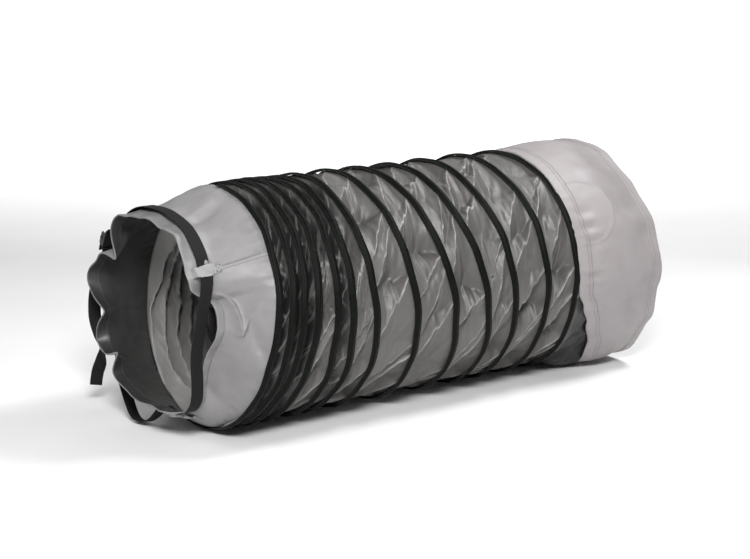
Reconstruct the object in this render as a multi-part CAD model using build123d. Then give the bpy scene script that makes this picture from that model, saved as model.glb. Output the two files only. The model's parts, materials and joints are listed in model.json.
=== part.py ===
from build123d import *
import math
import os

# ---- main sizes of the duct, in millimetres --------------------------------
wallInner = 225.0           # half of the 450 mm nominal air way
fabricThickness = 1.0       # coated fabric
totalLength = 1105.0        # from mouth to mouth, as it lies part drawn together

wireRadius = 1.75           # spring steel wire, 3.5 mm
wireLine = 229.9            # from the axis to the middle of the wire
stripFlat = 228.1           # from the axis to the underside of the wear strip
stripGauge = 0.9            # thickness of the wear strip
stripHalf = 9.0             # half of the 18 mm strip width
bumpFoot = 3.6              # half width of the bead over the wire, at its foot
bumpTop = 1.9               # half width of the bead, at its crown
bumpRise = 3.75             # height of the bead above the flats
seamAngle = 0.4             # gap left where one turn's strip ends, in degrees
lastTurnEnd = 222.0         # the last turn stops this far round from the top

# where each turn crosses the top line and the bottom line, along the duct
turnTop = [-395.5, -361.0, -335.5, -306.0, -275.0, -248.0, -210.5,
           -129.0, -55.5, 20.0, 106.5, 210.0, 300.0]
turnBottom = [-450.5, -421.0, -395.5, -361.0, -300.0, -256.0, -190.5,
              -84.0, 14.5, 95.0, 168.5, 245.0, 315.0]
layerGap = 0.4              # room between one layer of fabric or webbing and the next
panelGap = 0.2              # each wall panel stops this far short of the turn's middle

# ---- cuffs ------------------------------------------------------------------
hemWidth = 22.0
hemGauge = 0.8
farCuffInner = 229.8        # the far cuff slips over a spigot, so it is a little wider
farMouthInner = 229.0       # inside radius of the far cuff from the wall's end to the mouth
farDrawStart = 437.5        # where the far cuff starts to draw in, past the end of the wall
farDrawEnd = 441.0          # where it has reached its mouth radius
farCuffTop = 332.5          # body side edge of the far cuff, on the top line
farCuffBottom = 402.5       # and on the bottom line
seamBandWidth = 26.0

# ---- belt round the near cuff -----------------------------------------------
strapWidth = 25.0
strapGauge = 1.4
strapInner = 226.5
strapBack = 36.0            # middle of the belt, measured back from the mouth
loopAngles = [60.0, 163.0, 187.0, 244.0, 277.0]
loopWidth = 20.0
loopLength = 62.0
loopGauge = 1.0

# ---- cam buckle -------------------------------------------------------------
buckleAngle = 298.0         # round from the top, going by the front
plateLength = 44.0
plateWidth = 33.0
plateGauge = 1.5
plateBase = 228.4           # underside of the base plate, from the axis
cheekGauge = 1.6
cheekHeight = 14.0
pinRadius = 2.0
pinHeight = 238.9           # pin line, from the axis
leverWidth = 27.4
camRadius = 6.6
tailBase = 230.3            # underside of the belt tail inside the buckle

axisHeight = 233.14       # the wear strips stand on the floor
axisSide = -2.54           # the belt tail stands out behind, so the duct sits a little forward
mouthX = -totalLength / 2.0
farMouthX = totalLength / 2.0


def ontoAxis(shape):
    # moves a shape made about the X axis up to the duct's own axis
    return Pos(0, axisSide, axisHeight) * shape


def ring(innerRadius, outerRadius, startX, endX):
    outer = Cylinder(outerRadius, endX - startX)
    inner = Cylinder(innerRadius, endX - startX + 2.0)
    tube = outer - inner
    return Pos((startX + endX) / 2.0, 0, 0) * Rot(0, 90, 0) * tube


def leanAngle(topX, bottomX):
    return math.degrees(math.atan2(bottomX - topX, 2.0 * wireLine))


def leanPlane(topX, bottomX, shift):
    lean = math.radians(leanAngle(topX, bottomX))
    along = Vector(math.cos(lean), 0, math.sin(lean))
    middle = Vector((topX + bottomX) / 2.0, 0, 0) + along * shift
    return Plane(origin=middle, z_dir=along)


def leanShape(shape, topX, bottomX):
    # tips a shape made about the X axis into the plane of one half turn
    tip = Rot(0, -leanAngle(topX, bottomX), 0)
    return Pos((topX + bottomX) / 2.0, 0, 0) * tip * shape


def leanGrowth(topX, bottomX):
    # a leaning half turn is this much wider, so its top and bottom stay put
    lean = math.radians(leanAngle(topX, bottomX))
    return wireLine / math.cos(lean) - wireLine


def stripFace(growth):
    low = stripFlat + growth
    high = low + stripGauge
    points = [
        (-stripHalf, 0, low),
        (-bumpFoot, 0, low),
        (-bumpTop, 0, low + bumpRise),
        (bumpTop, 0, low + bumpRise),
        (bumpFoot, 0, low),
        (stripHalf, 0, low),
        (stripHalf, 0, high),
        (bumpFoot + 0.5, 0, high),
        (bumpTop + 0.4, 0, high + bumpRise),
        (-bumpTop - 0.4, 0, high + bumpRise),
        (-bumpFoot - 0.5, 0, high),
        (-stripHalf, 0, high),
    ]
    return make_face(Polyline(points, close=True))


def wireFace(growth):
    place = Plane(origin=(0, 0, wireLine + growth), z_dir=(0, 1, 0))
    return place * Circle(wireRadius)


def sweptArc(face, startAngle, endAngle):
    # angles run from the top, round by the front, to the bottom and up the back
    turned = Rot(startAngle, 0, 0) * face
    return revolve(turned, axis=Axis.X, revolution_arc=endAngle - startAngle)


def frontHalf(maker, index, startAngle):
    top = turnTop[index]
    bottom = turnBottom[index]
    arc = sweptArc(maker(leanGrowth(top, bottom)), startAngle, 180.0)
    return leanShape(arc, top, bottom)


def backHalf(maker, index, endAngle):
    bottom = turnBottom[index]
    top = turnTop[index + 1]
    arc = sweptArc(maker(leanGrowth(top, bottom)), 180.0, endAngle)
    return leanShape(arc, top, bottom)


def wholeTurn(maker, index):
    front = frontHalf(maker, index, seamAngle)
    if index + 1 < len(turnTop):
        return front + backHalf(maker, index, 360.0 - seamAngle)
    bottom = turnBottom[index]
    arc = sweptArc(maker(0.0), 180.0, lastTurnEnd)
    return front + leanShape(arc, bottom, bottom)


def cutBetween(tube, startPlane, endPlane):
    if startPlane is not None:
        tube = split(tube, bisect_by=startPlane, keep=Keep.TOP)
    if endPlane is not None:
        tube = split(tube, bisect_by=endPlane, keep=Keep.BOTTOM)
    return tube


def wallPanel(index):
    startPlane = leanPlane(turnTop[index], turnBottom[index], panelGap)
    if index + 1 < len(turnTop):
        endPlane = leanPlane(turnTop[index + 1], turnBottom[index + 1], -panelGap)
        reach = turnBottom[index + 1] + 60.0
    else:
        endPlane = leanPlane(farCuffTop + 34.0, farCuffBottom + 34.0, 0.0)
        reach = farCuffBottom + 90.0
    tube = ring(wallInner, wallInner + fabricThickness, turnBottom[index] - 60.0, reach)
    return cutBetween(tube, startPlane, endPlane)


def nearCuff():
    endPlane = leanPlane(turnTop[0], turnBottom[0], -panelGap)
    tube = ring(wallInner, wallInner + fabricThickness, mouthX, turnTop[0] + 40.0)
    return cutBetween(tube, None, endPlane)


def nearHem():
    start = wallInner + fabricThickness + layerGap
    return ring(start, start + hemGauge, mouthX, mouthX + hemWidth)


def farCuff():
    # one sleeve: over the wall at its full width, then drawn in a little towards the mouth
    startPlane = leanPlane(farCuffTop, farCuffBottom, 0.0)
    points = [
        (farCuffTop - 80.0, farCuffInner),
        (farDrawStart, farCuffInner),
        (farDrawEnd, farMouthInner),
        (farMouthX, farMouthInner),
        (farMouthX, farMouthInner + fabricThickness),
        (farDrawEnd, farMouthInner + fabricThickness),
        (farDrawStart, farCuffInner + fabricThickness),
        (farCuffTop - 80.0, farCuffInner + fabricThickness),
    ]
    profile = make_face(Polyline([(x, 0, r) for x, r in points], close=True))
    return cutBetween(revolve(profile, Axis.X, 360.0), startPlane, None)


def farHem():
    start = farMouthInner + fabricThickness + layerGap
    return ring(start, start + hemGauge, farMouthX - hemWidth, farMouthX)


def farSeamBand():
    # folded edge of the cuff, sewn down to the last wall panel
    startPlane = leanPlane(farCuffTop, farCuffBottom, 1.0)
    endPlane = leanPlane(farCuffTop, farCuffBottom, 1.0 + seamBandWidth)
    inner = wallInner + fabricThickness + layerGap
    tube = ring(inner, farCuffInner - layerGap, farCuffTop - 80.0, farCuffBottom + 120.0)
    return cutBetween(tube, startPlane, endPlane)


def beltLoop(angle):
    # a webbing tab laid over the belt and sewn down in front of and behind it
    half = math.degrees(loopWidth / 2.0 / strapInner)
    cuffTop = wallInner + fabricThickness + layerGap
    hemTop = cuffTop + hemGauge + layerGap
    crown = strapInner + strapGauge + layerGap
    front = mouthX + 1.0
    beltEdge = mouthX + strapBack - strapWidth / 2.0 - 1.0
    beltFar = mouthX + strapBack + strapWidth / 2.0 + 1.0
    back = mouthX + loopLength
    points = [
        (front, 0, hemTop),
        (beltEdge, 0, hemTop),
        (beltEdge, 0, crown),
        (beltFar, 0, crown),
        (beltFar, 0, cuffTop),
        (back, 0, cuffTop),
        (back, 0, cuffTop + loopGauge),
        (beltFar + loopGauge, 0, cuffTop + loopGauge),
        (beltFar + loopGauge, 0, crown + loopGauge),
        (beltEdge - loopGauge, 0, crown + loopGauge),
        (beltEdge - loopGauge, 0, hemTop + loopGauge),
        (front, 0, hemTop + loopGauge),
    ]
    face = make_face(Polyline(points, close=True))
    return sweptArc(face, angle - half, angle + half)


def beltSpan():
    # angle the base plate covers at the belt's radius
    return math.degrees(plateLength / 2.0 / strapInner)


def strapRing():
    # from the far side of the buckle all the way round to its near side
    middle = mouthX + strapBack
    low = middle - strapWidth / 2.0
    high = middle + strapWidth / 2.0
    points = [
        (low, 0, strapInner),
        (high, 0, strapInner),
        (high, 0, strapInner + strapGauge),
        (low, 0, strapInner + strapGauge),
    ]
    face = make_face(Polyline(points, close=True))
    start = buckleAngle + beltSpan() - 360.0
    return sweptArc(face, start, buckleAngle - beltSpan() + 4.0)


def atBuckle(shape):
    # made at the top of the cuff with the tail leaving towards +Y, then turned into place
    turned = Rot(buckleAngle - 360.0, 0, 0) * shape
    return Pos(mouthX + strapBack, 0, 0) * turned


def buckleFrame():
    plate = Pos(0, 0, plateBase + plateGauge / 2.0) * Box(plateWidth, plateLength, plateGauge)
    cheekMiddle = plateWidth / 2.0 - cheekGauge / 2.0
    cheekZ = plateBase + cheekHeight / 2.0
    body = plate
    for side in (-1.0, 1.0):
        cheek = Box(cheekGauge, plateLength - 14.0, cheekHeight)
        cheek = fillet(cheek.edges().filter_by(Axis.X).group_by(Axis.Z)[-1], 5.0)
        body = body + Pos(side * cheekMiddle, 0, cheekZ) * cheek
    slot = Box(plateWidth - 8.0, 3.4, plateGauge * 4.0)
    body = body - Pos(0, plateLength / 2.0 - 5.0, plateBase) * slot
    body = body - Pos(0, -plateLength / 2.0 + 5.0, plateBase) * slot
    pinHole = Rot(0, 90, 0) * Cylinder(pinRadius + 0.05, plateWidth + 10.0)
    body = body - Pos(0, 0, pinHeight) * pinHole
    return atBuckle(body)


def bucklePin():
    shank = Rot(0, 90, 0) * Cylinder(pinRadius, plateWidth + 3.0)
    headGauge = 1.0
    pin = shank
    for side in (-1.0, 1.0):
        head = Rot(0, 90, 0) * Cylinder(pinRadius + 1.2, headGauge)
        pin = pin + Pos(side * (plateWidth / 2.0 + 0.2 + headGauge / 2.0), 0, 0) * head
    return atBuckle(Pos(0, 0, pinHeight) * pin)


def buckleLever():
    # cam round the pin with a thumb plate lying towards the tail side
    cam = Rot(0, 90, 0) * Cylinder(camRadius, leverWidth)
    thumb = Pos(0, 17.0, 3.6) * Rot(-6, 0, 0) * Box(leverWidth, 30.0, 2.0)
    body = cam + thumb
    toothDepth = 0.9
    for step in range(5):
        angle = 62.0 + 14.0 * step
        notch = Pos(0, camRadius, 0) * Box(leverWidth + 2.0, toothDepth, toothDepth)
        body = body - Rot(-angle, 0, 0) * notch
    hole = Rot(0, 90, 0) * Cylinder(pinRadius + 0.08, leverWidth + 10.0)
    body = body - hole
    window = Box(8.0, 2.0 * camRadius + 6.0, 2.0 * camRadius + 6.0)
    body = body - window
    return atBuckle(Pos(0, 0, pinHeight) * body)


def buckleSpring():
    # torsion spring, close wound on the pin in the middle of the cam
    coilRadius = pinRadius + 1.2
    coil = Helix(pitch=1.35, height=5.4, radius=coilRadius)
    start = coil @ 0
    heading = coil % 0
    section = Plane(origin=start, z_dir=heading) * Circle(0.5)
    wire = sweep(section, path=coil, is_frenet=True)
    return atBuckle(Pos(-2.7, 0, pinHeight) * Rot(0, 90, 0) * wire)


def strapTail():
    # straight through the buckle, then bent over to hang behind the cuff
    upper = -24.0
    straight = 62.0
    bendRadius = 60.0
    turn = buckleAngle - 270.0
    drop = 208.0
    line = Line((0, upper, tailBase), (0, straight, tailBase))
    turnRadians = math.radians(turn)
    bendEndY = straight + bendRadius * math.sin(turnRadians)
    bendEndZ = tailBase - bendRadius * (1.0 - math.cos(turnRadians))
    midRadians = turnRadians / 2.0
    bendMidY = straight + bendRadius * math.sin(midRadians)
    bendMidZ = tailBase - bendRadius * (1.0 - math.cos(midRadians))
    bend = ThreePointArc(
        (0, straight, tailBase),
        (0, bendMidY, bendMidZ),
        (0, bendEndY, bendEndZ),
    )
    hangEnd = (
        0,
        bendEndY + drop * math.cos(turnRadians),
        bendEndZ - drop * math.sin(turnRadians),
    )
    hang = Line((0, bendEndY, bendEndZ), hangEnd)
    section = Pos(0, upper, tailBase + strapGauge / 2.0) * Rot(90, 0, 0)
    section = section * Rectangle(strapWidth - 0.4, strapGauge)
    return atBuckle(sweep(section, path=Wire([line, bend, hang])))


def writeNode(name, shape):
    export_step(ontoAxis(shape), "parts/" + name + ".step")


os.makedirs("parts", exist_ok=True)
for turnIndex in range(len(turnTop)):
    label = "%02d" % (turnIndex + 1)
    writeNode("wire_turn_" + label, wholeTurn(wireFace, turnIndex))
    writeNode("wear_strip_" + label, wholeTurn(stripFace, turnIndex))
    writeNode("wall_panel_" + label, wallPanel(turnIndex))
writeNode("near_cuff", nearCuff())
writeNode("near_cuff_hem", nearHem())
writeNode("far_cuff", farCuff())
writeNode("far_cuff_hem", farHem())
writeNode("far_seam_band", farSeamBand())
for loopIndex, loopAngle in enumerate(loopAngles):
    writeNode("belt_loop_" + str(loopIndex + 1), beltLoop(loopAngle))
writeNode("strap", strapRing())
writeNode("strap_tail", strapTail())
writeNode("buckle_frame", buckleFrame())
writeNode("buckle_pin", bucklePin())
writeNode("buckle_lever", buckleLever())
writeNode("buckle_spring", buckleSpring())
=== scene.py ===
import json
import math
import bpy
import numpy as np
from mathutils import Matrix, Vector, noise


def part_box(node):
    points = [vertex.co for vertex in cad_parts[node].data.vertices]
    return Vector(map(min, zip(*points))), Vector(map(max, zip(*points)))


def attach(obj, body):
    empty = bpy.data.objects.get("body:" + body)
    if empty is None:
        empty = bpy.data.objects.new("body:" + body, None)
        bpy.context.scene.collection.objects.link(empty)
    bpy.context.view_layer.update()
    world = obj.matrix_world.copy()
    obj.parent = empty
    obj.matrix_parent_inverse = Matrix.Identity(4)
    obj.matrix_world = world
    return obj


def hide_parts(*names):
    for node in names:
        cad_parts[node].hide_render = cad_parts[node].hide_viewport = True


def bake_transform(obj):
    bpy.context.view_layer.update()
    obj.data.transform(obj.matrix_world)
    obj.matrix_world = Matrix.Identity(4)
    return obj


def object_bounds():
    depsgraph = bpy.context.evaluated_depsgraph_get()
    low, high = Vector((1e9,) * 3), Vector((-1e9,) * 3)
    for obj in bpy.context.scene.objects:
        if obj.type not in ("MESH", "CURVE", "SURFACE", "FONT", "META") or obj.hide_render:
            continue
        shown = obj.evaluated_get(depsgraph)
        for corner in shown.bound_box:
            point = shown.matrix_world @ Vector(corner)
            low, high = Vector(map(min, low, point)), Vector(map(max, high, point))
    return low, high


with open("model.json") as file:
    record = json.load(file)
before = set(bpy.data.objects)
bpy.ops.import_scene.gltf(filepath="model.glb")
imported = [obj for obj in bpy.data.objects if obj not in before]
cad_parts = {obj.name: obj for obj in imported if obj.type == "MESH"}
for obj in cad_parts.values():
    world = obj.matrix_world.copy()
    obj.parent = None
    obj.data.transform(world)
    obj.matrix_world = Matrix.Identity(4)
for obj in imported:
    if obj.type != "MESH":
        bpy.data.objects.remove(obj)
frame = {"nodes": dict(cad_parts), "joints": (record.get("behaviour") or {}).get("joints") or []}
cadLow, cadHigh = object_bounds()
print("frame loaded, finding the duct's own lines")

tau = 2 * math.pi
seamBandWidth = 0.0272
# the axis, the wall and the turns, all read off the frame
wallLow, wallHigh = (Vector(corner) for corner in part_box("wall_panel_08"))
axisY = (wallLow.y + wallHigh.y) / 2
axisZ = (wallLow.z + wallHigh.z) / 2
wallOuter = (wallHigh.z - wallLow.z) / 2
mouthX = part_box("near_cuff")[0][0]
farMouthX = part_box("far_cuff")[1][0]
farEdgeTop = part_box("far_cuff")[0][0]
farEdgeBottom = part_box("far_seam_band")[1][0] - seamBandWidth
turnCount = 13
floorZ = cadLow.z


def nodeName(stem, turn):
    return "%s_%02d" % (stem, turn)


def findTurns():
    tops, bottoms = [], []
    known = {}
    for joint in frame["joints"]:
        for soft in joint.get("deforming_nodes", []):
            known[soft["node"]] = soft["fixed_end_x_m"]
    for turn in range(1, turnCount + 1):
        before = "near_cuff" if turn == 1 else nodeName("wall_panel", turn - 1)
        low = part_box(nodeName("wall_panel", turn))[0][0]
        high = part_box(before)[1][0]
        top = known.get(nodeName("wall_panel", turn), low)
        tops.append(top)
        bottoms.append(low + high - top)
    return tops, bottoms


turnTop, turnBottom = findTurns()


def clamp(value, low=0.0, high=1.0):
    return max(low, min(high, value))


def ease(value):
    value = clamp(value)
    return value * value * (3 - 2 * value)


def mix(a, b, share):
    return a + (b - a) * share


def hump(value, centre, width):
    return math.exp(-(((value - centre) / width) ** 2))


def turnGap(angle, other):
    # signed difference of two angles in degrees, the short way
    return (angle - other + 180.0) % 360.0 - 180.0


def rough(x, y=0.0, z=0.0):
    return noise.noise(Vector((x, y, z)))


# small wander of the wire, the same for strip, wire and wall
wander = {"axial": 0.0038, "radial": 0.0014, "axialPace": 7.0 / 2.2, "radialPace": 7.0 / 1.6}


def waves(place, seed):
    # a few sines that never line up, between about -1 and 1
    return (0.5 * np.sin(place * 6.1 + seed) + 0.3 * np.sin(place * 14.3 + 2.1 * seed + 1)
            + 0.2 * np.sin(place * 27.7 + 3.7 * seed + 2))


def wanderAxial(turns):
    return wander["axial"] * waves(turns * wander["axialPace"], 3.7)


def wanderRadial(turns):
    return wander["radial"] * waves(turns * wander["radialPace"], 9.1)


def turnLine(turn, angle):
    # where the middle of a turn's front plane sits at an angle round from the top
    top, bottom = turnTop[turn - 1], turnBottom[turn - 1]
    x = (top + bottom) / 2 + (top - bottom) / 2 * math.cos(angle)
    if angle <= math.pi:
        return x + wanderAxial(turn + angle / tau)
    share = (angle - math.pi) / math.pi
    return x + mix(wanderAxial(turn + 0.5), wanderAxial(turn), share)


def farLine(angle):
    top, bottom = farEdgeTop, farEdgeBottom
    return (top + bottom) / 2 + (top - bottom) / 2 * math.cos(angle)


def stripLine(turn, angle):
    # where the strip itself runs: its back half crosses to the top of the next turn
    if angle <= math.pi or turn == turnCount:
        return turnLine(turn, angle)
    bottom, nextTop = turnBottom[turn - 1], turnTop[turn]
    share = (1 + math.cos(angle)) / 2
    return mix(bottom, nextTop, share) + wanderAxial(turn + angle / tau)


wire = {"line": 0.2299, "radius": 0.00172, "sides": 10, "steps": 90, "lastEnd": math.radians(222)}


def growthOf(turn, angle):
    # a leaning half turn is a little wider, so its top and bottom stay put
    turn = max(turn, 1)
    if turn > turnCount:
        return 0.0
    top, bottom = turnTop[turn - 1], turnBottom[turn - 1]
    if angle > math.pi and turn < turnCount:
        top = turnTop[turn]
    lean = math.atan2(bottom - top, 2 * wire["line"])
    return wire["line"] / math.cos(lean) - wire["line"]


def leanOf(turn, angle):
    top, bottom = turnTop[turn - 1], turnBottom[turn - 1]
    if angle > math.pi:
        top = turnTop[turn] if turn < turnCount else bottom
    return math.atan2(bottom - top, 2 * wire["line"])


def smoothLean(turn, angle):
    # eases the lean from one half turn into the next
    lean = leanOf(turn, angle)
    reach = math.radians(28)
    for border, otherTurn, otherAngle in (
        (0.0, turn - 1, 1.5 * math.pi),
        (math.pi, turn, 1.5 * math.pi if angle <= math.pi else 0.5 * math.pi),
        (tau, turn + 1, 0.5 * math.pi),
    ):
        away = abs(angle - border)
        if away < reach and 1 <= otherTurn <= turnCount:
            lean = mix(leanOf(otherTurn, otherAngle), lean, 0.5 + 0.5 * ease(away / reach))
    return lean


def linkMesh(name, verts, faces, uvs=None):
    # uvs holds two numbers for each corner of each face, in order
    mesh = bpy.data.meshes.new(name)
    mesh.from_pydata(verts, [], faces)
    if uvs:
        mesh.uv_layers.new(name="UVMap").data.foreach_set("uv", uvs)
    mesh.polygons.foreach_set("use_smooth", [True] * len(mesh.polygons))
    mesh.update()
    piece = bpy.data.objects.new(name, mesh)
    bpy.context.scene.collection.objects.link(piece)
    return piece


def addGrid(name, rows, columns, pointAt, closed=False, uvAt=None):
    verts = [pointAt(row, column) for row in range(rows) for column in range(columns)]
    faces, uvs = [], []
    for row in range(rows - 1):
        for column in range(columns if closed else columns - 1):
            a = row * columns + column
            b = row * columns + (column + 1) % columns
            faces.append((a, b, b + columns, a + columns))
            if uvAt:
                for corner in ((row, column), (row, column + 1), (row + 1, column + 1), (row + 1, column)):
                    uvs.extend(uvAt(*corner))
    return linkMesh(name, verts, faces, uvs)


def thicken(piece, gauge, offset, inside=0):
    shell = piece.modifiers.new("gauge", "SOLIDIFY")
    shell.thickness = gauge
    shell.offset = offset
    shell.use_even_offset = False
    shell.material_offset = inside


def paint(piece, *materials):
    piece.data.materials.clear()
    for material in materials:
        piece.data.materials.append(material)


def newMaterial(name, colour, roughness):
    material = bpy.data.materials.new(name)
    material.use_nodes = True
    tree = material.node_tree
    shader = tree.nodes["Principled BSDF"]
    shader.inputs["Base Color"].default_value = (*colour, 1)
    shader.inputs["Roughness"].default_value = roughness
    return material, tree, shader


def addNode(tree, kind, **settings):
    node = tree.nodes.new(kind)
    for key, value in settings.items():
        if key in node.inputs:
            node.inputs[key].default_value = value
        else:
            setattr(node, key, value)
    return node


def ramp(tree, source, stops):
    node = tree.nodes.new("ShaderNodeValToRGB")
    elements = node.color_ramp.elements
    while len(elements) < len(stops):
        elements.new(0.5)
    for element, (place, colour) in zip(elements, stops):
        element.position = place
        element.color = (*colour, 1)
    tree.links.new(source, node.inputs["Fac"])
    return node.outputs["Color"]


def noiseNode(tree, vector, scale, detail, roughness):
    node = addNode(tree, "ShaderNodeTexNoise", Scale=scale, Detail=detail, Roughness=roughness)
    tree.links.new(vector, node.inputs["Vector"])
    return node.outputs["Fac"]


def waveNode(tree, vector, direction, perMetre, distortion, detail):
    # stripes counted per metre along one direction
    node = addNode(tree, "ShaderNodeTexWave", Scale=perMetre * tau / 20, Distortion=distortion, Detail=detail)
    node.bands_direction = direction
    tree.links.new(vector, node.inputs["Vector"])
    return node.outputs["Fac"]


def markedTone(tree, attribute, under, over):
    # lays a colour over another where the mesh carries a mark
    mark = addNode(tree, "ShaderNodeAttribute", attribute_name=attribute)
    node = addNode(tree, "ShaderNodeMix", data_type="RGBA")
    tree.links.new(mark.outputs["Fac"], node.inputs["Factor"])
    tree.links.new(under, node.inputs[6])
    node.inputs[7].default_value = (*over, 1)
    return node.outputs[2]


def mathNode(tree, operation, first, second=None):
    node = tree.nodes.new("ShaderNodeMath")
    node.operation = operation
    for slot, value in enumerate((first, second)):
        if value is None:
            continue
        if isinstance(value, (int, float)):
            node.inputs[slot].default_value = value
        else:
            tree.links.new(value, node.inputs[slot])
    return node.outputs[0]


def bumpChain(tree, shader, layers):
    # layers is a list of height, distance and strength, the coarsest first
    last = None
    for height, distance, strength in layers:
        bump = tree.nodes.new("ShaderNodeBump")
        bump.inputs["Distance"].default_value = distance
        bump.inputs["Strength"].default_value = strength
        tree.links.new(height, bump.inputs["Height"])
        if last is not None:
            tree.links.new(last, bump.inputs["Normal"])
        last = bump.outputs["Normal"]
    tree.links.new(last, shader.inputs["Normal"])


# the last colour is a near-black that the wall cloth takes as painted shade deep in its folds and as painted
# shadow under the far cuff
coatedFabric = {"threads": 420.0, "weaveDepth": 0.00012, "coatRoughness": 0.32, "paintedShade": (0.009, 0.009, 0.009)}


def coatedMaterial(name, light, dark, roughness, coat, crumple, worn=None):
    material, tree, shader = newMaterial(name, light, roughness)
    place = tree.nodes.new("ShaderNodeTexCoord")
    spot = place.outputs["Object"]
    cloud = noiseNode(tree, spot, 5.0, 6.0, 0.62)
    scuff = noiseNode(tree, spot, 46.0, 5.0, 0.7)
    cloudPart = mathNode(tree, "MULTIPLY", cloud, 0.7)
    scuffPart = mathNode(tree, "MULTIPLY", scuff, 0.3)
    colour = ramp(tree, mathNode(tree, "ADD", cloudPart, scuffPart), [(0.34, dark), (0.62, light)])
    # worn lightens the crease lines, partly rubbed wear and partly painted highlight, and adds painted
    # highlight streaks in the bunched folds
    if worn:
        colour = markedTone(tree, "worn", colour, worn)
        # painted shade: the cloth goes near-black where the shade mark is high
        colour = markedTone(tree, "shade", colour, coatedFabric["paintedShade"])
    tree.links.new(colour, shader.inputs["Base Color"])
    shine = ramp(tree, scuff, [(0.3, (roughness - 0.07,) * 3), (0.7, (roughness + 0.1,) * 3)])
    tree.links.new(shine, shader.inputs["Roughness"])
    shader.inputs["Coat Weight"].default_value = coat
    shader.inputs["Coat Roughness"].default_value = coatedFabric["coatRoughness"]
    shader.inputs["Specular IOR Level"].default_value = 0.5
    soft = noiseNode(tree, spot, 17.0, 3.0, 0.55)
    fine = noiseNode(tree, spot, 75.0, 4.0, 0.6)
    # two crossed sets of threads
    warp = waveNode(tree, place.outputs["UV"], "X", coatedFabric["threads"], 0.4, 0.0)
    weft = waveNode(tree, place.outputs["UV"], "Y", coatedFabric["threads"], 0.4, 0.0)
    weave = mathNode(tree, "MAXIMUM", warp, weft)
    bumpChain(tree, shader, [
        (soft, 0.004 * crumple, 0.22),
        (fine, 0.0010 * crumple, 0.22),
        (weave, coatedFabric["weaveDepth"], 0.55)])
    return material


def webbingMaterial(name, light, dark, ribs):
    material, tree, shader = newMaterial(name, light, 0.72)
    uv = tree.nodes.new("ShaderNodeTexCoord").outputs["UV"]
    across = waveNode(tree, uv, "DIAGONAL", ribs, 1.2, 1.0)
    along = waveNode(tree, uv, "Y", ribs, 0.6, 0.0)
    height = mathNode(tree, "MULTIPLY", across, along)
    tree.links.new(ramp(tree, height, [(0.0, dark), (0.85, light)]), shader.inputs["Base Color"])
    shader.inputs["Specular IOR Level"].default_value = 0.25
    bumpChain(tree, shader, [(height, 0.0004, 0.8)])
    return material


def stripMaterial():
    material, tree, shader = newMaterial("wearStripBlack", (0.0055, 0.0068, 0.0055), 0.50)
    spot = tree.nodes.new("ShaderNodeTexCoord").outputs["Object"]
    scuff = noiseNode(tree, spot, 60.0, 6.0, 0.7)
    tone = ramp(tree, scuff, [
        (0.42, (0.0016, 0.0022, 0.0016)), (0.60, (0.0030, 0.0040, 0.0030)), (0.76, (0.010, 0.012, 0.010))])
    tree.links.new(tone, shader.inputs["Base Color"])
    tree.links.new(ramp(tree, scuff, [(0.35, (0.44,) * 3), (0.7, (0.62,) * 3)]), shader.inputs["Roughness"])
    shader.inputs["Specular IOR Level"].default_value = 0.10
    bumpChain(tree, shader, [(noiseNode(tree, spot, 420.0, 2.0, 0.5), 0.0003, 0.4)])
    return material


def steelMaterial(name, colour, roughness):
    material, tree, shader = newMaterial(name, colour, roughness)
    shader.inputs["Metallic"].default_value = 1.0
    spot = tree.nodes.new("ShaderNodeTexCoord").outputs["Object"]
    stretch = addNode(tree, "ShaderNodeMapping", Scale=(900.0, 60.0, 60.0))
    tree.links.new(spot, stretch.inputs["Vector"])
    drawn = noiseNode(tree, stretch.outputs["Vector"], 1.0, 4.0, 0.6)
    worn = noiseNode(tree, spot, 120.0, 5.0, 0.65)
    tone = ramp(tree, worn, [(0.35, tuple(c * 0.72 for c in colour)), (0.65, colour)])
    tree.links.new(tone, shader.inputs["Base Color"])
    shine = ramp(tree, drawn, [(0.3, (roughness - 0.08,) * 3), (0.7, (roughness + 0.12,) * 3)])
    tree.links.new(shine, shader.inputs["Roughness"])
    bumpChain(tree, shader, [(drawn, 0.0001, 0.5)])
    return material


def threadMaterial(name, colour):
    material, tree, shader = newMaterial(name, colour, 0.6)
    spot = tree.nodes.new("ShaderNodeTexCoord").outputs["Object"]
    fibre = noiseNode(tree, spot, 900.0, 2.0, 0.5)
    tone = ramp(tree, fibre, [(0.3, tuple(c * 0.7 for c in colour)), (0.7, colour)])
    tree.links.new(tone, shader.inputs["Base Color"])
    shader.inputs["Sheen Weight"].default_value = 0.2
    bumpChain(tree, shader, [(fibre, 0.0003, 0.6)])
    return material


# light and dark of the cloth, then roughness, coat, crumple and the colour of the lighter creases, partly
# rubbed wear and partly painted highlight
wallOutside = coatedMaterial(
    "wallFabricOutside", (0.104, 0.100, 0.096), (0.074, 0.071, 0.068), 0.46, 0.06, 0.8, (0.36, 0.345, 0.33))
wallInside = coatedMaterial("wallFabricInside", (0.290, 0.284, 0.278), (0.215, 0.210, 0.206), 0.42, 0.1, 0.8)
nearOutside = coatedMaterial("nearCuffOutside", (0.218, 0.212, 0.215), (0.176, 0.171, 0.174), 0.50, 0.04, 0.6)
nearInside = coatedMaterial("nearCuffInside", (0.034, 0.035, 0.034), (0.023, 0.024, 0.023), 0.40, 0.06, 0.7)
farOutside = coatedMaterial("farCuffOutside", (0.290, 0.269, 0.272), (0.250, 0.230, 0.234), 0.55, 0.04, 0.5)
farInside = coatedMaterial("farCuffInside", (0.10, 0.095, 0.095), (0.07, 0.068, 0.068), 0.5, 0.05, 0.6)
stripBlack = stripMaterial()
wireSteel = steelMaterial("springWire", (0.33, 0.33, 0.34), 0.38)
buckleSteel = steelMaterial("platedBuckle", (0.10, 0.10, 0.10), 0.38)
strapBlack = webbingMaterial("beltWebbing", (0.010, 0.010, 0.011), (0.003, 0.003, 0.0035), 560.0)
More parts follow.
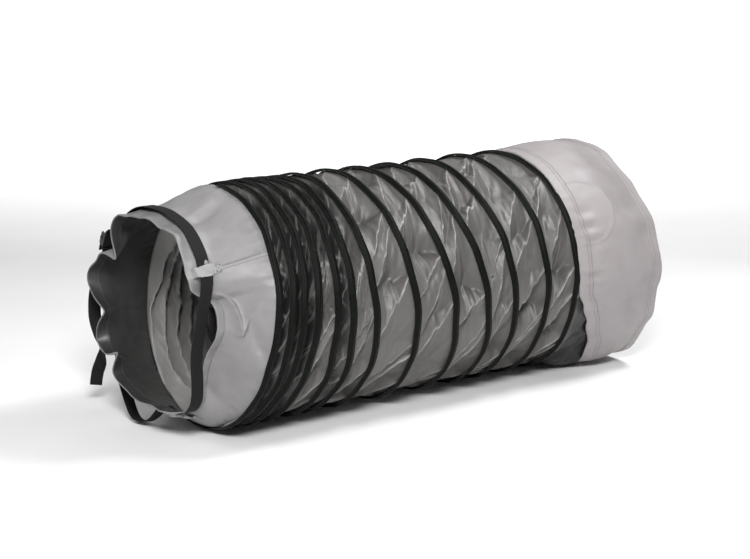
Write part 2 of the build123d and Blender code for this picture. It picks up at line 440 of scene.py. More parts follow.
loopGrey = webbingMaterial("loopTape", (0.40, 0.40, 0.39), (0.24, 0.24, 0.24), 700.0)
threadGrey = threadMaterial("greyThread", (0.17, 0.168, 0.17))
threadDim = threadMaterial("dimThread", (0.055, 0.055, 0.055))
threadPale = threadMaterial("paleThread", (0.115, 0.108, 0.110))
print("materials made")

# the profile is in millimetres, across the strip and up from the cloth
strip = {"flat": 0.2281, "steps": 150, "profile": [
    (-8.2, 0.0), (-8.1, 0.55), (-7.6, 0.9), (-4.9, 0.95), (-3.7, 1.7), (-2.7, 3.3), (-1.5, 4.35), (0.0, 4.6),
    (1.5, 4.35), (2.7, 3.3), (3.7, 1.7), (4.9, 0.95), (7.6, 0.9), (8.1, 0.55), (8.2, 0.0),
    (3.6, 0.0), (2.1, 3.3), (0.0, 3.8), (-2.1, 3.3), (-3.6, 0.0)]}


def helixPoint(turn, angle, radius, along):
    # a point at a radius over the axis, shifted sideways in the leaning plane of the strip
    growth = growthOf(turn, angle)
    lean = smoothLean(turn, angle)
    reach = radius + wanderRadial(turn + angle / tau)
    x = stripLine(turn, angle)
    side = reach + growth
    point = Vector((x, axisY - side * math.sin(angle), axisZ + reach * math.cos(angle)))
    return point + Vector((math.cos(lean), 0, math.sin(lean))) * along


def roundLengths(section, wide, high):
    # how far round a closed section each of its points is
    lengths = [0.0]
    for a, b in zip(section, section[1:] + section[:1]):
        lengths.append(lengths[-1] + math.hypot((b[0] - a[0]) * wide, (b[1] - a[1]) * high))
    return lengths


def sweepTurn(name, turn, startAngle, endAngle, profile, base, steps):
    count = len(profile)
    length = roundLengths(profile, 0.001, 0.001)

    def pointAt(row, column):
        angle = mix(startAngle, endAngle, row / (steps - 1))
        side, rise = profile[column]
        return helixPoint(turn, angle, base + rise / 1000, side / 1000)

    def uvAt(row, column):
        angle = mix(startAngle, endAngle, row / (steps - 1))
        return ((turn + angle / tau) * tau * base, length[column])

    piece = addGrid(name, steps, count, pointAt, True, uvAt)
    capEnds(piece, steps, count)
    return piece


def capEnds(piece, rows, columns):
    # closes both ends of a swept piece
    mesh = piece.data
    verts = [v.co.copy() for v in mesh.vertices]
    faces = [tuple(p.vertices) for p in mesh.polygons]
    layer = mesh.uv_layers.active
    uvs = [tuple(layer.data[i].uv) for i in range(len(layer.data))]
    first = tuple(range(columns))
    last = tuple((rows - 1) * columns + column for column in reversed(range(columns)))
    for face in (first, last):
        faces.append(face)
        uvs.extend([(0.0, 0.0)] * columns)
    mesh.clear_geometry()
    mesh.from_pydata(verts, [], faces)
    layer = mesh.uv_layers.active or mesh.uv_layers.new(name="UVMap")
    layer.data.foreach_set("uv", [c for uv in uvs for c in uv])
    mesh.polygons.foreach_set("use_smooth", [True] * len(mesh.polygons))
    mesh.update()


def bodyOf(turn):
    return "near_end" if turn == 1 else nodeName("turn", turn)


def wireProfile():
    points = []
    for side in range(wire["sides"]):
        angle = tau * side / wire["sides"]
        points.append((1000 * wire["radius"] * math.cos(angle), 1000 * wire["radius"] * math.sin(angle)))
    return points


def hangOnTurn(piece, turn, backHalf):
    if backHalf and turn < turnCount:
        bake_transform(piece)
    else:
        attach(piece, bodyOf(turn))


def makeTurns():
    steps = strip["steps"]
    for turn in range(1, turnCount + 1):
        halves = [("front", 0.0, math.pi), ("back", math.pi, tau if turn < turnCount else wire["lastEnd"])]
        for half, startAngle, endAngle in halves:
            stripPiece = sweepTurn(
                "wearStrip%02d_%s" % (turn, half), turn, startAngle, endAngle,
                strip["profile"], strip["flat"], steps)
            paint(stripPiece, stripBlack)
            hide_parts(nodeName("wear_strip", turn))
            hangOnTurn(stripPiece, turn, half == "back")
            wirePiece = sweepTurn(
                "wireTurn%02d_%s" % (turn, half), turn, startAngle, endAngle,
                wireProfile(), wire["line"], wire["steps"])
            paint(wirePiece, wireSteel)
            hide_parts(nodeName("wire_turn", turn))
            hangOnTurn(wirePiece, turn, half == "back")


makeTurns()
print("wear strip and wire wound")

# sag and facet are depths, the gaps say when the cloth counts as open or bunched, lean is in turns
wall = {"rows": 33, "columns": 920, "radius": 0.2275, "gauge": 0.0009, "cut": 0.085,
        "openSag": 0.0050, "bunchSag": 0.036, "openGap": 0.048, "bunchGap": 0.032, "tuck": 0.034,
        "creases": 17, "lean": 0.085, "skew": 80, "facet": 0.0255, "creaseWidth": 0.0018, "bag": 0.024}


def creaseEnds():
    # where each crease leaves one turn and meets the next, counted in turns along the helix
    count = wall["creases"]
    total = (turnCount + 3) * count
    index = np.arange(total)
    starts = (index + 0.33 * np.sin(index * 2.4 + 0.7) + 0.16 * np.sin(index * 5.9)) / count - 1.0
    slip = wall["lean"] * (1 + 0.30 * np.sin(index * 1.7 + 2.0) + 0.15 * np.sin(index * 4.3))
    ends = np.sort(starts - slip)
    depth = 0.72 + 0.30 * np.sin(index * 3.1 + 1.0) + 0.20 * np.sin(index * 7.7)
    return starts, ends, depth


creaseStart, creaseEnd, creaseDepth = creaseEnds()


def facets(along, share):
    # depth from 0 on the outward creases to 1 on the inward ones, and how near the outward crease is
    count = len(creaseStart)
    depth = np.zeros_like(along)
    near = np.full_like(along, 1.0)
    for index in range(count - 1):
        out = creaseStart[index] + (creaseEnd[index] - creaseStart[index]) * share
        inward = creaseStart[index] + (creaseEnd[index + 1] - creaseStart[index]) * share
        outNext = creaseStart[index + 1] + (creaseEnd[index + 1] - creaseStart[index + 1]) * share
        inside = (along >= out) & (along < outNext)
        if not inside.any():
            continue
        first = np.clip((along - out) / np.maximum(inward - out, 1e-5), 0, 1)
        second = np.clip((outNext - along) / np.maximum(outNext - inward, 1e-5), 0, 1)
        rise = np.where(along < inward, first, second)
        rise = np.where(rise > 0.8, 0.8 + (rise - 0.8) * (1 - (rise - 0.8) * 1.6), rise)
        wide = np.clip((outNext - out) * wall["creases"] * 1.1, 0.15, 1.3)
        depth = np.where(inside, rise * creaseDepth[index] * wide, depth)
        apart = np.minimum(along - out, outNext - along) * tau * wall["radius"]
        near = np.where(inside, np.minimum(near, apart), near)
    return depth, near


def lineArray(turn, angle):
    # the same as turnLine, for arrays of angles
    if turn > turnCount:
        return (farEdgeTop + farEdgeBottom) / 2 + (farEdgeTop - farEdgeBottom) / 2 * np.cos(angle)
    top, bottom = turnTop[turn - 1], turnBottom[turn - 1]
    x = (top + bottom) / 2 + (top - bottom) / 2 * np.cos(angle)
    share = np.clip((angle - math.pi) / math.pi, 0, 1)
    back = wanderAxial(turn + 0.5) + (wanderAxial(turn) - wanderAxial(turn + 0.5)) * share
    return x + np.where(angle <= math.pi, wanderAxial(turn + angle / tau), back)


def stripArray(turn, angle):
    # the same as stripLine; turn 0 is the near cuff's seam and the one past the last is the far cuff
    if turn == 0:
        return lineArray(1, angle)
    if turn > turnCount:
        return lineArray(turn, angle) + 0.030
    if turn == turnCount:
        return lineArray(turn, angle)
    bottom, nextTop = turnBottom[turn - 1], turnTop[turn]
    share = (1 + np.cos(angle)) / 2
    back = bottom + (nextTop - bottom) * share + wanderAxial(turn + angle / tau)
    return np.where(angle <= math.pi, lineArray(turn, angle), back)


def growthArray(turn, angle):
    return np.where(angle <= math.pi, growthOf(turn, 1.0), growthOf(turn, 4.0))


def panelPoints(turn):
    rows, columns = wall["rows"], wall["columns"]
    # the columns lean along with the creases, by a whole number of columns so the edges meet
    share = np.tile((np.arange(rows) / (rows - 1))[:, None], (1, columns))
    angle = (np.arange(columns)[None, :] - wall["skew"] * (share - 0.5)) * tau / columns % tau
    start = lineArray(turn, angle)
    end = lineArray(turn + 1, angle) + (wall["tuck"] if turn == turnCount else 0.0)
    x = start + (end - start) * share
    before = (angle > math.pi) & (x < stripArray(turn, angle))
    lines = [stripArray(index, angle) for index in (turn - 1, turn, turn + 1)]
    growths = [growthArray(index, angle) for index in (turn - 1, turn, turn + 1)]
    wobbles = [wanderRadial(index + angle / tau) for index in (turn - 1, turn, turn + 1)]
    low = np.where(before, lines[0], lines[1])
    high = np.where(before, lines[1], lines[2])
    first = np.where(before, turn - 1, turn)
    gap = np.maximum(high - low, 1e-4)
    t = np.clip((x - low) / gap, 0, 1)
    growth = np.where(before, growths[0] * (1 - t) + growths[1] * t, growths[1] * (1 - t) + growths[2] * t)
    wobble = np.where(before, wobbles[0] * (1 - t) + wobbles[1] * t, wobbles[1] * (1 - t) + wobbles[2] * t)
    along = first + angle / tau
    free = np.clip((gap - wall["bunchGap"]) / (wall["openGap"] - wall["bunchGap"]), 0, 1)
    bunched = 1 - free * free * (3 - 2 * free)
    bow = np.sin(math.pi * t)
    depth, near = facets(along + 0.006 * waves(along * 5 + t * 1.7, 2.0) * bow, t)
    wrinkle = waves(along * 9 + 0.9 * t, 6.0)
    fine = waves(along * 31 - 1.4 * t, 1.0)
    slack = 1 + 0.30 * waves(along * 1.9, 4.0)
    openDepth = (wall["openSag"] * bow ** 0.8 * slack + wall["facet"] * depth * bow ** 0.6 * slack
                 + 0.0006 * fine * bow + 0.0016 * wrinkle * bow)
    crest = 0.5 + 0.17 * waves(along * 6, 8.0) + 0.05 * fine
    tent = np.where(t < crest, t / crest, (1 - t) / (1 - crest))
    fold = wall["bunchSag"] * np.clip(gap / 0.016, 0, 1) * (0.88 + 0.18 * waves(along * 2.0, 3.0))
    bunchDepth = fold * tent ** 0.85 + (0.0022 * wrinkle + 0.0012 * fine) * bow + 0.008 * depth * bow
    inward = (openDepth * (1 - bunched) + bunchDepth * bunched) * np.clip(gap / 0.012, 0, 1)
    # painted highlight streaks in the bunched folds; painted shade deep in the bunched folds and along the
    # inward creases of the open cloth
    highlightStreak = np.clip(waves(along * 23 + 2.5 * t, 11.0) - 0.25, 0, 1)
    shade = bunched * np.clip(inward / 0.014, 0, 1) * (1.0 - 1.3 * np.clip(highlightStreak, 0, 0.7))
    shade += (1 - bunched) * 0.30 * np.clip(depth, 0, 1) ** 2 * bow
    if turn == turnCount:
        # the last stretch hangs out to the floor; under the loose edge of the far cuff it is darkened with
        # painted shadow
        degrees = np.degrees(angle)
        beyond = x - lines[1]
        bag = np.exp(-(((degrees - 151) / 13) ** 2)) * np.clip((beyond - 0.010) / 0.05, 0, 1)
        inward = np.where(beyond > 0.012, 0.45 * inward, inward) - wall["bag"] * bag
        under = np.clip((degrees - 94) / 26, 0, 1) * np.clip((215 - degrees) / 20, 0, 1)
        shade = np.maximum(shade, under * np.clip((beyond - 0.010) / 0.016, 0, 1))
    shift = bunched * bow * 0.007 * waves(along * 3, 5.0) + (1 - bunched) * bow * 0.004 * wrinkle
    reach = wall["radius"] + wobble - inward
    side = reach + growth
    high = np.maximum(axisZ + reach * np.cos(angle), floorZ + 0.0012)
    points = np.stack([x + shift, axisY - side * np.sin(angle), high], axis=-1)
    # lighter crease lines, partly rubbed wear and partly painted highlight, plus painted highlight streaks in
    # the bunched folds
    crease = np.exp(-((near / wall["creaseWidth"]) ** 2)) * bow ** 0.35
    crease += 0.9 * bunched * bow * highlightStreak
    markStrength = 0.60 + 0.40 * waves(along * 17, 7.0)
    return points, np.clip(crease * markStrength, 0, 1), np.clip(shade, 0, 1)


def leanNormal(turn):
    lean = (leanOf(turn, 0.0) + leanOf(min(turn + 1, turnCount), 0.0)) / 2
    return Vector((math.cos(lean), 0, math.sin(lean)))


def makeWall():
    rows, columns = wall["rows"], wall["columns"]
    for turn in range(1, turnCount + 1):
        points, crease, shade = panelPoints(turn)

        def pointAt(row, column):
            return points[row, column]

        def uvAt(row, column):
            lean = wall["skew"] * (row / (rows - 1) - 0.5)
            return (wall["radius"] * tau * (column - lean) / columns, wall["cut"] * (turn + row / (rows - 1)))

        piece = addGrid("wallPanel%02d" % turn, rows, columns, pointAt, True, uvAt)
        # worn carries the lighter creases, partly rubbed wear and partly painted highlight
        worn = piece.data.attributes.new("worn", "FLOAT", "POINT")
        worn.data.foreach_set("value", crease.reshape(-1))
        # painted shade and painted shadow, carried to the material as the shade mark
        deep = piece.data.attributes.new("shade", "FLOAT", "POINT")
        deep.data.foreach_set("value", shade.reshape(-1))
        thicken(piece, wall["gauge"], -1.0, 1)
        paint(piece, wallOutside, wallInside)
        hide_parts(nodeName("wall_panel", turn))
        if turn < turnCount:
            normal = leanNormal(turn)
            start = Vector(((turnTop[turn - 1] + turnBottom[turn - 1]) / 2, axisY, axisZ))
            end = Vector(((turnTop[turn] + turnBottom[turn]) / 2, axisY, axisZ))
            end = start + normal * (end - start).dot(normal)
            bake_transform(piece)
        else:
            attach(piece, bodyOf(turn))


makeWall()
print("wall fabric sewn")

nearCuff = {
    "rows": 72, "columns": 620, "gauge": 0.0010, "hem": 0.022, "stitch": 0.0042,
    # the mouth without its scallops: angle, reach from the axis and set back, both in millimetres
    "base": [
        (0, 186, 0), (28, 187, 0), (45, 180, 0), (56, 174, 0), (63, 168, 2), (68, 160, 22), (72, 150, 45),
        (80, 153, 51), (90, 155, 51), (98, 149, 51), (108, 136, 51), (119, 128, 51), (132, 136, 51),
        (143, 152, 51), (149, 174, 49), (156, 186, 36), (162, 183, 12), (168, 178, 0), (181, 174, 0),
        (200, 183, 0), (218, 194, 0), (240, 206, 0), (262, 208, 0), (279, 216, 0), (300, 203, 0),
        (320, 195, 0), (340, 188, 0)],
    # each scallop: angle, millimetres outward, half width in degrees, reach along the cuff
    "folds": [
        (306, -52, 6.5, 0.080), (290, -3, 6, 0.06), (279, 21, 8, 0.085), (262, -34, 5.5, 0.075),
        (247, 15, 6.5, 0.075), (232.5, -46, 3.6, 0.060), (222, 4, 7, 0.07), (326, 11, 8, 0.07),
        (353, -7, 9, 0.08), (14, -9, 9, 0.06),
        (32, 7, 5, 0.035), (52, -8, 7, 0.026), (181, -3, 7, 0.05)],
    # each dent: angle, distance from the mouth, millimetres outward, width in degrees, length, lean
    "dents": [
        (50, 0.030, 12.0, 9, 0.014, 0.0), (6, 0.034, 9.0, 22, 0.020, 0.0), (337, 0.034, 8.0, 14, 0.022, 0.0),
        (30, 0.032, 8.0, 10, 0.018, 0.0), (65, 0.026, -15.0, 6.5, 0.020, 0.0),
        (100, 0.104, -12.0, 6.5, 0.020, 0.75), (88, 0.094, 6.0, 6, 0.016, 0.9),
        (110, 0.098, 5.0, 5, 0.020, -0.6),
        (76, 0.128, 3.5, 7, 0.018, 0.4), (88, 0.142, -4.0, 9, 0.014, 0.3), (20, 0.095, -6.5, 5, 0.045, -0.8),
        (11, 0.100, 3.5, 5, 0.040, -0.8), (38, 0.070, -4.0, 11, 0.020, 0.5),
        (128, 0.11, -5.0, 9, 0.022, -0.4), (116, 0.13, 3.0, 8, 0.02, -0.5),
        (150, 0.10, -5.0, 10, 0.022, 0.5), (200, 0.08, -5.0, 11, 0.02, 0.3),
        (232, 0.095, 4.0, 12, 0.02, 0.3), (260, 0.10, -5.0, 13, 0.02, 0.2), (300, 0.10, -4.0, 12, 0.02, -0.4),
        (335, 0.10, -5.0, 8, 0.026, 0.6), (348, 0.09, 3.0, 6, 0.03, -0.6), (88, 0.088, -9.0, 8, 0.022, 0.0)],
    # straight folds: from angle and distance back, to angle and distance back, millimetres outward, width
    "ridges": [
        (66, 0.034, 77, 0.043, 10.0, 0.008), (77, 0.043, 94, 0.057, 14.0, 0.008),
        (94, 0.057, 84, 0.074, 12.0, 0.008), (84, 0.074, 75, 0.106, 9.0, 0.008),
        (104, 0.060, 92, 0.100, -6.0, 0.010), (18, 0.040, 12, 0.120, 6.0, 0.009),
        (24, 0.050, 18, 0.130, -6.0, 0.012), (118, 0.070, 104, 0.130, 4.5, 0.008),
        (96, 0.128, 120, 0.150, 4.0, 0.008), (132, 0.060, 126, 0.130, -4.0, 0.012),
        (222, 0.050, 236, 0.120, 6.0, 0.010), (262, 0.050, 252, 0.130, 6.0, 0.010),
        (300, 0.060, 312, 0.130, 6.0, 0.010), (330, 0.050, 336, 0.120, -5.0, 0.012)]}


def tableAt(table, degrees):
    # a smooth closed curve through a table of angles and values
    degrees %= 360
    count = len(table)
    for index in range(count):
        a = table[index]
        b = table[(index + 1) % count]
        span = (b[0] - a[0]) % 360
        away = (degrees - a[0]) % 360
        if away <= span:
            t = away / span
            before, after = table[index - 1], table[(index + 2) % count]
            values = []
            for slot in range(1, len(a)):
                p0, p1, p2, p3 = before[slot], a[slot], b[slot], after[slot]
                m1 = (p2 - p0) / 2 * min(1.0, span / max((a[0] - before[0]) % 360, 1e-3))
                m2 = (p3 - p1) / 2 * min(1.0, span / max((after[0] - b[0]) % 360, 1e-3))
                values.append((2 * t ** 3 - 3 * t * t + 1) * p1 + (t ** 3 - 2 * t * t + t) * m1
                              + (3 * t * t - 2 * t ** 3) * p2 + (t ** 3 - t * t) * m2)
            return values
    return list(table[0][1:])


metresPerDegree = 0.0037   # along the cloth of the near cuff


def ridgeShare(degrees, back, startAngle, startBack, endAngle, endBack, width):
    # how near a place on the cloth is to a straight fold between two places on it
    px, py = turnGap(degrees, startAngle) * metresPerDegree, back - startBack
    dx, dy = (endAngle - startAngle) * metresPerDegree, endBack - startBack
    share = clamp((px * dx + py * dy) / (dx * dx + dy * dy))
    away = math.hypot(px - dx * share, py - dy * share)
    return math.exp(-((away / width) ** 1.5)) * (0.35 + 0.65 * math.sin(math.pi * clamp(share, 0.08, 0.92)))


def dentsAt(table, degrees, back, widest):
    # how far the dents of a cuff lift or press one place on it
    out = 0.0
    for centre, place, depth, width, span, lean in table:
        away = turnGap(degrees, centre)
        if abs(away) < widest:
            slid = away / width - lean * (back - place) / span
            out += depth / 1000 * math.exp(-(slid ** 2)) * math.exp(-(((back - place) / span) ** 2))
    return out


def nearPoint(angle, back):
    # a point on the near cuff's outside: angle round from the top, distance from the mouth
    degrees = math.degrees(angle) % 360
    baseReach, setBack = (value / 1000 for value in tableAt(nearCuff["base"], degrees))
    setBack = max(setBack, 0.0)
    length = turnLine(1, angle % tau) - mouthX
    share = clamp((back - 0.022) / (length - 0.022))
    swell = mix(share, ease(share), 0.3)
    loopX, loopY = math.cos(angle), math.sin(angle)
    grown = wall["radius"] + growthOf(1, angle % tau) * abs(loopY)
    reach = mix(baseReach, grown, swell)
    out = 0.0
    for centre, outward, width, decay in nearCuff["folds"]:
        away = turnGap(degrees, centre)
        if abs(away) < 3.2 * width:
            out += outward / 1000 * math.exp(-((away / width) ** 2)) * clamp(1 - back / decay) ** 1.5
    out += dentsAt(nearCuff["dents"], degrees, back, 40)
    freedom = clamp(1 - share) ** 0.5 * clamp(1 - share * share)
    out += 0.0035 * freedom * rough(loopX * 3.1, loopY * 3.1, back * 14)
    out += 0.0014 * freedom * rough(loopX * 9.0, loopY * 9.0, back * 40)
    for startAngle, startBack, endAngle, endBack, height, width in nearCuff["ridges"]:
        near = ridgeShare(degrees, back, startAngle, startBack, endAngle, endBack, width)
        out += height / 1000 * freedom * near
    # small tucks where the cuff is sewn to the first turn
    tucks = abs(math.sin(angle * 31 + 2 * rough(loopX * 2, loopY * 2)))
    out -= 0.0013 * hump(length - back, 0.016, 0.014) * tucks
    y = axisY - (reach + out) * loopY
    z = axisZ + (reach + out) * loopX
    x = mouthX + setBack + back * (length - setBack) / length
    return Vector((x, y, max(z, floorZ + 0.002)))


probe = {"step": 0.002, "radius": 0.22}


def clothFrame(pointOf, angle, back):
    # the point on a cuff, the outward direction, and the direction along the cloth from the mouth back
    here = pointOf(angle, back)
    along = pointOf(angle, back + probe["step"]) - here
    across = pointOf(angle + probe["step"] / probe["radius"], back) - here
    normal = across.cross(along).normalized()
    if normal.dot(here - Vector((here.x, axisY, axisZ))) < 0:
        normal = -normal
    return here, normal, along.normalized()


def nearFrame(angle, back):
    return clothFrame(nearPoint, angle, back)


def makeNearCuff():
    rows, columns = nearCuff["rows"], nearCuff["columns"]

    def pointAt(row, column):
        angle = tau * column / columns
        length = turnLine(1, angle) - mouthX
        return nearPoint(angle, length * (row / (rows - 1)) ** 1.15)

    def uvAt(row, column):
        return (wallOuter * tau * column / columns, 0.15 * row / (rows - 1))

    cuff = addGrid("nearCuff", rows, columns, pointAt, True, uvAt)
    thicken(cuff, nearCuff["gauge"], -1.0, 1)
    paint(cuff, nearOutside, nearInside)
    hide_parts("near_cuff")
    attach(cuff, "near_end")


def makeNearHem():
    # the edge is turned over a few millimetres inside and sewn down outside
    hem = nearCuff["hem"]
    places = [(-0.0009, -0.0008), (-0.0011, 0.0), (-0.0007, 0.0010)]
    places += [(hem * step / 8, 0.0013 - 0.0002 * (step % 2)) for step in range(0, 9)]
    places += [(hem + 0.0006, 0.0006), (hem + 0.0008, -0.0001)]
    rows, columns = len(places), nearCuff["columns"]

    def pointAt(row, column):
        back, lift = places[row]
        here, normal, along = nearFrame(tau * column / columns, max(back, 0.0))
        return here + normal * lift + along * min(back, 0.0)

    def uvAt(row, column):
        return (wallOuter * tau * column / columns, 0.003 * row)

    piece = addGrid("nearCuffHem", rows, columns, pointAt, True, uvAt)
    thicken(piece, 0.0006, 1.0)
    paint(piece, nearOutside)
    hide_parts("near_cuff_hem")
    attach(piece, "near_end")


def stitchRow(name, count, frameAt, closed, length, width, lift, material, body, gapShare=0.72):
    # a row of short thread beads; frameAt gives a place and the outward direction there
    verts, faces = [], []
    # share of the stitch, share of its width and share of its height
    rings = [(0.0, 0.35, 0.15), (0.18, 0.9, 0.85), (0.5, 1.0, 1.0), (0.82, 0.9, 0.85), (1.0, 0.35, 0.15)]
    for index in range(count if closed else count - 1):
        start, normal = frameAt(index)
        end = frameAt(index + gapShare)[0]
        run = end - start
        if run.length > length * 3 or run.length < 1e-6:
            continue
        side = normal.cross(run).normalized() * width / 2
        base = len(verts)
        for share, wideShare, liftShare in rings:
            spot = start + run * share
            rise = normal * lift * 0.85 * liftShare
            verts += [spot - side * wideShare, spot - side * 0.5 * wideShare + rise,
                      spot + side * 0.5 * wideShare + rise, spot + side * wideShare]
        for ring in range(len(rings) - 1):
            for part in range(3):
                a = base + ring * 4 + part
                faces.append((a, a + 1, a + 5, a + 4))
            a = base + ring * 4
            faces.append((a + 3, a, a + 4, a + 7))
        faces.append((base, base + 3, base + 2, base + 1))
        last = base + (len(rings) - 1) * 4
        faces.append((last, last + 1, last + 2, last + 3))
    piece = linkMesh(name, verts, faces)
    paint(piece, material)
    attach(piece, body)


def nearStitches(name, back, lift, material, inward=False):
    pitch = nearCuff["stitch"]
    count = int(tau * wallOuter / pitch)

    def frameAt(index):
        here, normal, _ = nearFrame(tau * index / count, back)
        if inward:
            normal = -normal
            here = here + normal * nearCuff["gauge"]
        return here + normal * lift, normal

    stitchRow(name, count, frameAt, True, pitch, 0.0009, 0.0005, material, "near_end")


makeNearCuff()
makeNearHem()
nearStitches("nearHemStitch", nearCuff["hem"] - 0.003, 0.0018, threadGrey)
nearStitches("nearHemStitchInside", nearCuff["hem"] - 0.003, 0.0, threadDim, inward=True)
print("near cuff gathered")

# lap seam from the first loop back to the first turn; the section is across the seam and up
lapSeam = {"degrees": 54.5, "start": 0.060, "stitch": 0.0038, "rows": 26, "radius": 0.21, "section": [
    (-0.0045, 0.0001), (-0.0040, 0.0010), (0.0030, 0.0011), (0.0042, 0.0007), (0.0046, 0.0001)]}


def makeLapSeam():
    angle = math.radians(lapSeam["degrees"])
    length = turnLine(1, angle) - mouthX

    def pointAt(row, column):
        back = mix(lapSeam["start"], length - 0.006, row / (lapSeam["rows"] - 1))
        side, lift = lapSeam["section"][column]
        here, normal, _ = nearFrame(angle + side / lapSeam["radius"], back)
        return here + normal * lift

    def uvAt(row, column):
        return (0.004 * row, 0.002 * column)

    piece = addGrid("nearLapSeam", lapSeam["rows"], len(lapSeam["section"]), pointAt, False, uvAt)
    paint(piece, nearOutside)
    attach(piece, "near_end")

    def frameAt(index):
        back = lapSeam["start"] + 0.002 + index * lapSeam["stitch"]
        here, normal, _ = nearFrame(angle - 0.0022 / lapSeam["radius"], min(back, 0.19))
        return here + normal * 0.0011, normal

    pitch = lapSeam["stitch"]
    count = int((length - lapSeam["start"] - 0.010) / pitch)
    stitchRow("nearLapStitch", count, frameAt, False, pitch, 0.0010, 0.0005, threadGrey, "near_end")


makeLapSeam()

belt = {"width": 0.025, "gauge": 0.0014, "back": 0.036, "lift": 0.0014}
# degrees round from the top, the belt's distance from the mouth there, and whether it lies in a valley
loops = {"places": [(54.5, 0.026, True), (163.0, 0.024, True), (184.0, 0.034, True),
                    (243.0, 0.036, False), (277.0, 0.036, False)],
         "width": 0.020, "length": 0.062, "gauge": 0.0011, "rise": 0.0064, "lead": -0.0015, "radius": 0.215}


def beltAround(x, degrees, reach):
    turned = math.radians(degrees)
    return (x, axisY - reach * math.sin(turned), axisZ + reach * math.cos(turned), 0)


def onCuff(degrees, back, lift):
    here, normal, _ = nearFrame(math.radians(degrees), back)
    return (*(here + normal * lift), 0)


def overCuff(degrees, back):
    # the belt bridges the valleys between folds, so it rests on the highest cloth close by
    reach = 0.0
    for near in range(-9, 10, 3):
        for across in (-0.011, 0.0, 0.011):
            spot = nearPoint(math.radians(degrees + near), back + across)
            reach = max(reach, math.hypot(spot.y - axisY, spot.z - axisZ) - 0.0002 * abs(near))
    return beltAround(nearPoint(math.radians(degrees), back).x, degrees, reach + belt["lift"])


def loopLift(back, beltBack):
    # the tape rises over the belt and comes down on both sides of it
    half = belt["width"] / 2
    up = ease((back - beltBack + half + 0.006) / 0.005)
    down = ease((back - beltBack - half - 0.001) / 0.005)
    base = 0.0022 if back < nearCuff["hem"] else 0.0012
    return base + loops["rise"] * up * (1 - down)


def makeLoop(number, degrees, beltBack, inValley):
    rows, columns = 44, 11
    onBelt = onCuff(degrees, beltBack, 0.0040) if inValley else overCuff(degrees, beltBack)
    beltReach = math.hypot(onBelt[1] - axisY, onBelt[2] - axisZ)

    def pointAt(row, column):
        back = mix(loops["lead"], loops["length"], row / (rows - 1))
        side = mix(-0.5, 0.5, column / (columns - 1)) * loops["width"]
        side *= 1 - 0.06 * math.sin(math.pi * row / (rows - 1))
        turned = math.radians(degrees) + side / loops["radius"]
        here, normal, along = nearFrame(turned, max(back, 0.0))
        curl = 0.0004 * math.cos(column / (columns - 1) * tau)
        spot = here + normal * (loopLift(back, beltBack) - curl) + along * min(back, 0.0)
        over = clamp((loopLift(back, beltBack) - 0.0022) / (loops["rise"] - 0.0012))
        reach = math.hypot(spot.y - axisY, spot.z - axisZ)
        wanted = mix(reach, max(reach, beltReach + 0.0022 - curl), over)
        middle = Vector((spot.x, axisY, axisZ))
        return middle + (spot - middle) * wanted / reach

    def uvAt(row, column):
        return (loops["length"] * row / rows, loops["width"] * column / columns)

    piece = addGrid("beltLoop%d" % number, rows, columns, pointAt, False, uvAt)
    thicken(piece, loops["gauge"], 0.0)
    paint(piece, loopGrey)
    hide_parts("belt_loop_%d" % number)
    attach(piece, "near_end")

    # the stitches make a box with a cross in it, behind the belt
    left, right, near, far = -0.0075, 0.0075, 0.051, 0.060
    corners = [(left, near), (right, near), (right, far), (left, far),
               (left, near), (right, far), (right, near), (left, far)]
    route = []
    for (sideA, backA), (sideB, backB) in zip(corners, corners[1:]):
        steps = max(2, int(math.hypot(sideB - sideA, backB - backA) / 0.0026))
        for step in range(steps):
            route.append((mix(sideA, sideB, step / steps), mix(backA, backB, step / steps)))
    route.append(corners[-1])

    def frameAt(index):
        start = route[int(index)]
        end = route[min(int(index) + 1, len(route) - 1)]
        side, back = (mix(a, b, index % 1) for a, b in zip(start, end))
        here, normal, _ = nearFrame(math.radians(degrees) + side / loops["radius"], back)
        return here + normal * (loopLift(back, beltBack) + 0.0006), normal

    name = "loopStitch%d" % number
    stitchRow(name, len(route), frameAt, False, 0.003, 0.0011, 0.0006, threadDim, "near_end", 0.8)


for number, (degrees, beltBack, inValley) in enumerate(loops["places"], 1):
    makeLoop(number, degrees, beltBack, inValley)
print("belt loops sewn on")


def catmull(points, share):
    # smooth curve through a list of tuples of numbers
    count = len(points) - 1
    place = clamp(share, 0, 1) * count
    low = min(int(place), count - 1)
    t = place - low
    p0 = points[max(low - 1, 0)]
    p1, p2 = points[low], points[low + 1]
    p3 = points[min(low + 2, count)]
    result = []
    for a, b, c, d in zip(p0, p1, p2, p3):
        square, cube = 2 * a - 5 * b + 4 * c - d, 3 * b - a - 3 * c + d
        result.append(0.5 * (2 * b + (c - a) * t + square * t * t + cube * t ** 3))
    return result


